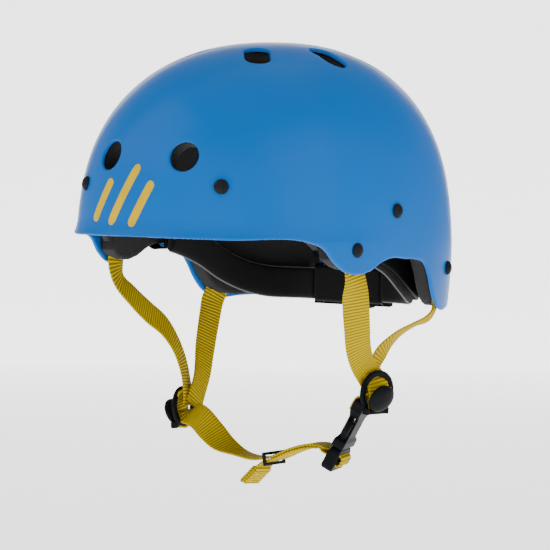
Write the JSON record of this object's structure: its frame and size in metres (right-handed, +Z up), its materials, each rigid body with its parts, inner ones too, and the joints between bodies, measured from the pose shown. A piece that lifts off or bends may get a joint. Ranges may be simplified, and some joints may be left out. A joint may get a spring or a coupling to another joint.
{
  "type": "water sports helmet",
  "caption": "Vented hard-shell water sports helmet with ear cut-outs, foam liner, dial-adjusted nape cradle and a webbing chin harness with a side-release buckle.",
  "frame": {"origin": "centre of the head cavity, level with the widest part of the shell", "axes": "+X to the wearer's left, +Y to the back of the head, +Z up towards the crown"},
  "size_m": [0.23, 0.2795, 0.3122],
  "materials": {
    "shell": "glossy moulded ABS",
    "foam": "closed-cell EVA foam",
    "comfort_pad": "brushed knit over soft foam",
    "rivet": "black coated, satin",
    "steel": "stainless steel",
    "webbing": "ribbed woven polyester webbing",
    "buckle": "satin moulded acetal",
    "keeper": "matt rubber",
    "cradle": "satin moulded nylon"
  },
  "bodies": {
    "helmet": {"outer_shell": "shell", "strap_rivets": "rivet", "shell_rivets": "rivet", "rivet_washers": "steel", "left_front_strap": "webbing", "left_rear_strap": "webbing", "right_front_strap_top": "webbing", "right_rear_strap_top": "webbing", "crown_liner": "foam", "front_liner": "foam", "rear_liner": "foam", "left_side_liner": "foam", "left_rear_liner": "foam", "right_side_liner": "foam", "right_rear_liner": "foam", "brow_pad": "comfort_pad", "rear_pad": "comfort_pad", "left_side_pad": "comfort_pad", "right_side_pad": "comfort_pad", "crown_pad": "comfort_pad", "left_divider": "buckle", "buckle_socket": "buckle", "buckle_link_strap": "webbing", "nape_cradle": "cradle", "adjuster_housing": "cradle", "housing_screws": "steel", "left_cradle_arm": "cradle", "left_cradle_pad": "comfort_pad", "left_cradle_hanger": "cradle", "right_cradle_arm": "cradle", "right_cradle_pad": "comfort_pad", "right_cradle_hanger": "cradle", "nape_pad": "comfort_pad"},
    "right_harness": {"right_front_strap": "webbing", "right_rear_strap": "webbing", "right_divider": "buckle", "buckle_plug": "buckle", "plug_guide": "buckle", "plug_webbing_loop": "webbing", "chin_strap": "webbing", "chin_strap_return": "webbing", "strap_tail": "webbing"},
    "left_lever": {"left_divider_lever": "buckle"},
    "right_lever": {"right_divider_lever": "buckle"},
    "front_arm": {"front_release_arm": "buckle"},
    "rear_arm": {"rear_release_arm": "buckle"},
    "keeper": {"strap_keeper": "keeper"},
    "dial": {"adjuster_knob": "cradle", "adjuster_pinion": "cradle"},
    "left_band": {"left_toothed_band": "cradle"},
    "right_band": {"right_toothed_band": "cradle"}
  },
  "joints": [
    {"name": "right_strap_swing", "type": "hinge", "parent": "helmet", "child": "right_harness", "pos_m": [-0.1001, 0.00465, -0.049], "axis": [0.0193, 0.9885, -0.1499], "range_deg": [0, 60]},
    {"name": "left_lever_turn", "type": "hinge", "parent": "helmet", "child": "left_lever", "pos_m": [0.09184, -0.00292, -0.11807], "axis": [0.1825, 0.9832, 0], "range_deg": [0, 70]},
    {"name": "right_lever_turn", "type": "hinge", "parent": "right_harness", "child": "right_lever", "pos_m": [-0.09034, 0.00468, -0.14106], "axis": [0.1825, -0.9832, 0], "range_deg": [0, 70]},
    {"name": "front_arm_press", "type": "hinge", "parent": "right_harness", "child": "front_arm", "pos_m": [0.06899, -0.0135, -0.14083], "axis": [-0.8407, -0.2716, 0.4684], "range_deg": [0, 7], "stiffness_Nm_per_rad": 0.3},
    {"name": "rear_arm_press", "type": "hinge", "parent": "right_harness", "child": "rear_arm", "pos_m": [0.06409, 0.00215, -0.14054], "axis": [0.8407, 0.2716, -0.4684], "range_deg": [0, 7], "stiffness_Nm_per_rad": 0.3},
    {"name": "keeper_slide", "type": "slide", "parent": "right_harness", "child": "keeper", "axis": [0.985, 0, 0.1724], "range_m": [0, 0.006]},
    {"name": "dial_turn", "type": "hinge", "parent": "helmet", "child": "dial", "pos_m": [0, 0.1, -0.037], "axis": [0, 1, 0], "range_deg": [0, 143.24]},
    {"name": "left_band_slide", "type": "slide", "parent": "helmet", "child": "left_band", "axis": [-1, 0, 0], "range_m": [0, 0.01]},
    {"name": "right_band_slide", "type": "slide", "parent": "helmet", "child": "right_band", "axis": [1, 0, 0], "range_m": [0, 0.01]}
  ],
  "couplings": [
    {"joint": "left_band_slide", "follows": "dial_turn", "m_per_rad": 0.004},
    {"joint": "right_band_slide", "follows": "dial_turn", "m_per_rad": 0.004}
  ]
}
